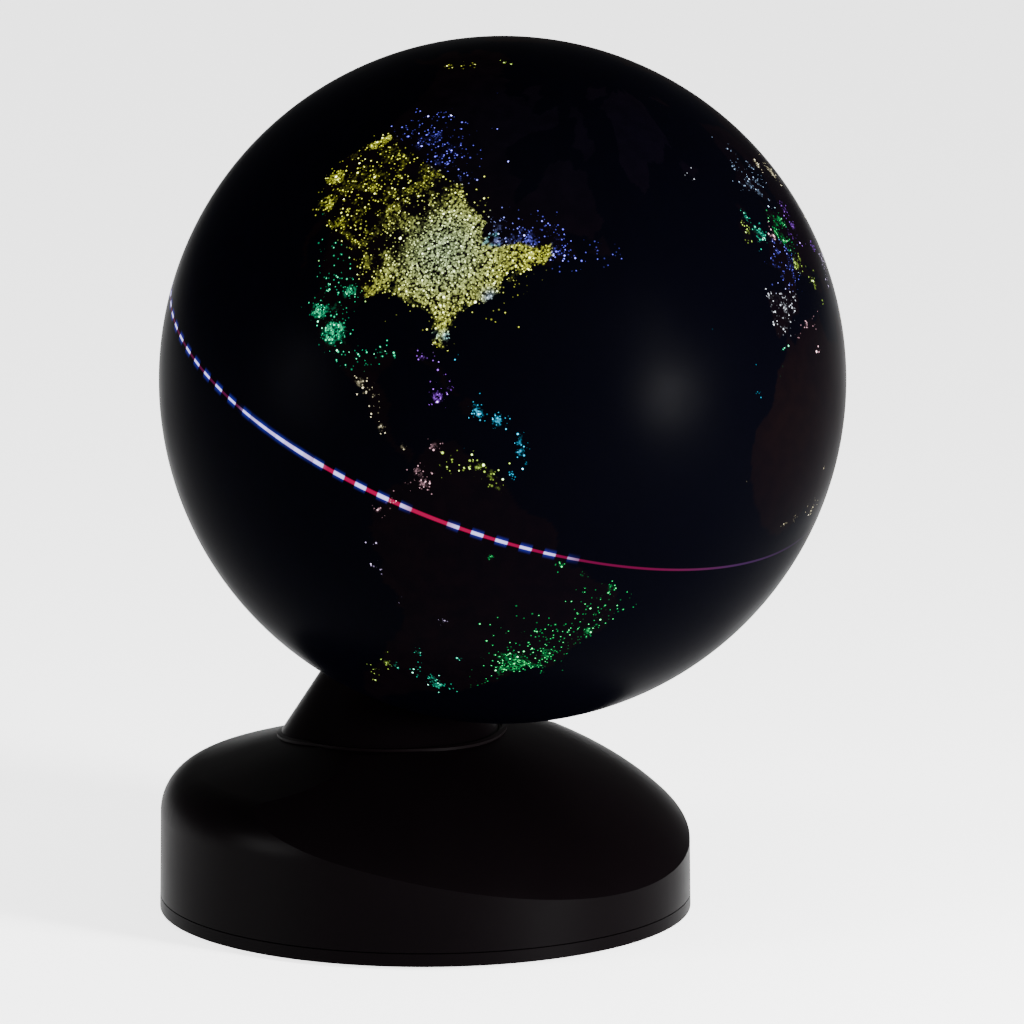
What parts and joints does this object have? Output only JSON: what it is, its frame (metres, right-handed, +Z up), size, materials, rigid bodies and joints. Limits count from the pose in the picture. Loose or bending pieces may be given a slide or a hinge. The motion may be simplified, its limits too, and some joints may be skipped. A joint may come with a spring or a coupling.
{
  "type": "desktop globe on stand",
  "caption": "Desktop globe of the night-time Earth on a low round black base, tilted axis, lit from inside and turned slowly by a geared motor",
  "frame": {"origin": "centre of the round base on the surface it stands on", "axes": "Z is up; the globe leans towards -Y, the front; X runs left to right"},
  "size_m": [0.254, 0.264, 0.3325],
  "materials": {
    "casing_plastic": "fine satin texture, black",
    "tray_plastic": "moulded black",
    "globe_plastic": "satin printed surface, lit from inside",
    "inner_plastic": "natural acetal",
    "diffuser_plastic": "milky",
    "button_plastic": "satin black",
    "trim_metal": "dark satin ring",
    "rubber": "matte",
    "screw_steel": "zinc plated",
    "ballast_steel": "painted plate",
    "bronze": "sintered bronze",
    "sheet_steel": "plain sheet",
    "aluminium": "plain",
    "board": "green solder mask",
    "lead_insulation": "soft"
  },
  "bodies": {
    "base": {"upper_base_shell": "casing_plastic", "neck_collar": "casing_plastic", "bottom_tray": "tray_plastic", "rubber_feet": "rubber", "ballast_plate": "ballast_steel", "neck_clamp_ring": "inner_plastic", "neck_trim_ring": "trim_metal", "light_seal": "rubber", "bearing_housing": "inner_plastic", "upper_bush": "bronze", "lower_bush": "bronze", "thrust_washer": "bronze", "motor_bracket": "sheet_steel", "gear_motor": "sheet_steel", "lamp_stem": "aluminium", "stem_nut": "screw_steel", "lamp_heat_sink": "aluminium", "led_board": "board", "lamp_diffuser": "diffuser_plastic", "lamp_lead": "lead_insulation", "motor_lead": "lead_insulation", "main_board": "board", "dc_jack": "button_plastic", "tact_switches": "button_plastic", "base_screws": "screw_steel", "ballast_screws": "screw_steel", "neck_clamp_screws": "screw_steel", "housing_screws": "screw_steel", "bracket_screws": "screw_steel", "motor_screws": "screw_steel", "board_screws": "screw_steel"},
    "globe": {"globe_north_shell": "globe_plastic", "globe_south_shell": "globe_plastic", "globe_hub": "inner_plastic", "hub_screws": "screw_steel", "ring_gear": "inner_plastic", "retaining_ring": "screw_steel"},
    "pinion": {"drive_pinion": "bronze", "motor_shaft": "screw_steel"},
    "power_button": {"power_button": "button_plastic"},
    "light_button": {"light_button": "button_plastic"}
  },
  "joints": [
    {"name": "globe_spin", "type": "hinge", "parent": "base", "child": "globe", "pos_m": [0, 0.01344, 0.08894], "axis": [0, -0.3971, 0.9178], "continuous": true},
    {"name": "pinion_spin", "type": "hinge", "parent": "base", "child": "pinion", "pos_m": [0, -0.00139, 0.04766], "axis": [0, -0.3971, 0.9178], "continuous": true},
    {"name": "power_button_press", "type": "slide", "parent": "base", "child": "power_button", "axis": [0.2588, -0.9659, 0], "range_m": [0, 0.0012], "stiffness_N_per_m": 400},
    {"name": "light_button_press", "type": "slide", "parent": "base", "child": "light_button", "axis": [-0.2588, -0.9659, 0], "range_m": [0, 0.0012], "stiffness_N_per_m": 400}
  ],
  "couplings": [
    {"joint": "pinion_spin", "follows": "globe_spin", "ratio": -4}
  ]
}
